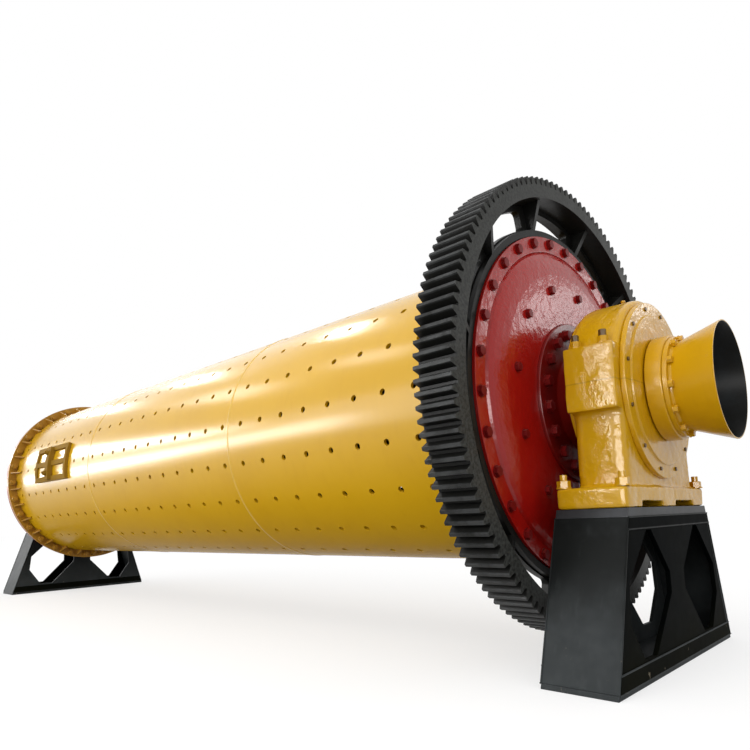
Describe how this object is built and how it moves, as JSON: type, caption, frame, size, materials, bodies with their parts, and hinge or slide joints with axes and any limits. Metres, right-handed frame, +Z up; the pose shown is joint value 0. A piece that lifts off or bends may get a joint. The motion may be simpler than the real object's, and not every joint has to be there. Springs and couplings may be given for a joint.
{
  "type": "tube ball mill",
  "caption": "Tube ball mill: a long bolted drum in trunnion bearings on welded pedestals, with a girth gear, dished heads and open spout cones.",
  "frame": {"origin": "on the floor, below the middle of the mill's length and on its centre line", "axes": "+X along the mill axis towards the geared discharge end, +Z up"},
  "size_m": [8.844, 2.6798, 2.7979],
  "materials": {
    "shell_yellow": "glossy golden yellow enamel",
    "flange_ochre": "dull ochre enamel",
    "manhole_ochre": "brown ochre enamel",
    "head_red": "glossy deep red enamel over cast steel",
    "trunnion_red": "dark red enamel",
    "gear_black": "grey black paint over cast steel",
    "pedestal_black": "satin black paint on welded plate",
    "bearing_yellow": "glossy yellow enamel over rough casting",
    "spout_yellow": "glossy yellow enamel, dark inside the cone",
    "bearing_metal": "oiled bearing metal"
  },
  "bodies": {
    "supports": {"drive_pedestal_base_plate": "pedestal_black", "drive_pedestal_inner_plate": "pedestal_black", "drive_pedestal_outer_plate": "pedestal_black", "drive_pedestal_left_side": "pedestal_black", "drive_pedestal_right_side": "pedestal_black", "drive_pedestal_top_plate": "pedestal_black", "drive_bearing_base": "bearing_yellow", "drive_bearing_cap": "bearing_yellow", "drive_bearing_bush": "bearing_metal", "drive_bearing_inner_cover": "bearing_yellow", "drive_bearing_outer_cover": "bearing_yellow", "feed_pedestal_base_plate": "pedestal_black", "feed_pedestal_inner_plate": "pedestal_black", "feed_pedestal_outer_plate": "pedestal_black", "feed_pedestal_left_side": "pedestal_black", "feed_pedestal_right_side": "pedestal_black", "feed_pedestal_top_plate": "pedestal_black", "feed_bearing_base": "bearing_yellow", "feed_bearing_cap": "bearing_yellow", "feed_bearing_bush": "bearing_metal", "feed_bearing_inner_cover": "bearing_yellow", "feed_bearing_outer_cover": "bearing_yellow"},
    "drum": {"feed_shell_can": "shell_yellow", "middle_shell_can": "shell_yellow", "drive_shell_can": "shell_yellow", "drive_shell_flange": "flange_ochre", "drive_head": "head_red", "drive_trunnion": "trunnion_red", "drive_trunnion_collar": "spout_yellow", "drive_spout_cone": "spout_yellow", "feed_shell_flange": "flange_ochre", "feed_head": "head_red", "feed_trunnion": "trunnion_red", "feed_trunnion_collar": "spout_yellow", "feed_spout_cone": "spout_yellow", "girth_gear_half_a": "gear_black", "girth_gear_half_b": "gear_black", "manhole_frame": "manhole_ochre", "manhole_cover": "manhole_ochre", "manhole_cross_bars": "manhole_ochre"}
  },
  "joints": [
    {"name": "drum_spin", "type": "hinge", "parent": "supports", "child": "drum", "pos_m": [0, 0, 1.458], "axis": [1, 0, 0], "continuous": true}
  ]
}
